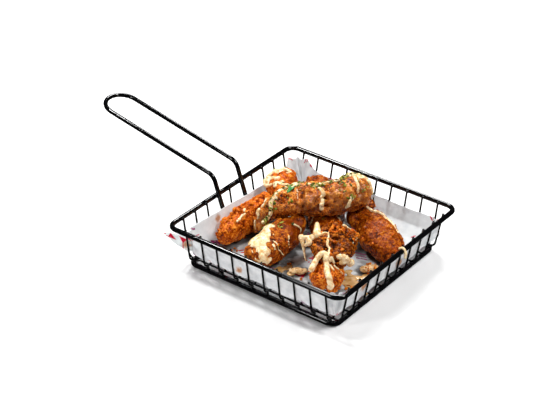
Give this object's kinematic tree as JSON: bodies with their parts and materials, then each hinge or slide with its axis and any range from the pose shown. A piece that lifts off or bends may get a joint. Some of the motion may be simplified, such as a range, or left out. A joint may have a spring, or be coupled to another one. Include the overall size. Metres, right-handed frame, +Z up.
{
  "type": "basket of chicken tenders",
  "caption": "Square wire serving basket with a long loop handle, a paper liner and a heap of breaded fried chicken tenders with sauce and herbs.",
  "frame": {"origin": "under the middle of the whole object's box, on the surface the basket stands on", "axes": "+Z up, -X along the handle away from the basket, +Y to the basket's left seen from its handle"},
  "size_m": [0.3564, 0.205, 0.1],
  "materials": {
    "coated_wire": "steel wire with a glossy black coating",
    "greaseproof_paper": "thin white greaseproof paper, creased, with oil marks and small red printed shapes",
    "fried_crust": "rough golden brown fried crust, slightly oily, with pale sauce and chopped herbs"
  },
  "bodies": {
    "root": {"rim": "coated_wire", "foot_ring": "coated_wire", "hoop_x_01": "coated_wire", "hoop_x_02": "coated_wire", "hoop_x_03": "coated_wire", "hoop_x_04": "coated_wire", "hoop_x_05": "coated_wire", "hoop_x_06": "coated_wire", "hoop_x_07": "coated_wire", "hoop_x_08": "coated_wire", "hoop_x_09": "coated_wire", "hoop_x_10": "coated_wire", "hoop_y_01": "coated_wire", "hoop_y_02": "coated_wire", "hoop_y_03": "coated_wire", "hoop_y_04": "coated_wire", "hoop_y_05": "coated_wire", "hoop_y_06": "coated_wire", "hoop_y_07": "coated_wire", "hoop_y_08": "coated_wire", "hoop_y_09": "coated_wire", "hoop_y_10": "coated_wire", "handle": "coated_wire", "liner": "greaseproof_paper", "tender_1": "fried_crust", "tender_2": "fried_crust", "tender_3": "fried_crust", "tender_4": "fried_crust", "tender_5": "fried_crust", "tender_6": "fried_crust", "tender_7": "fried_crust", "tender_8": "fried_crust", "crust_knob": "fried_crust", "crust_flake_1": "fried_crust", "crust_flake_2": "fried_crust"}
  },
  "joints": []
}
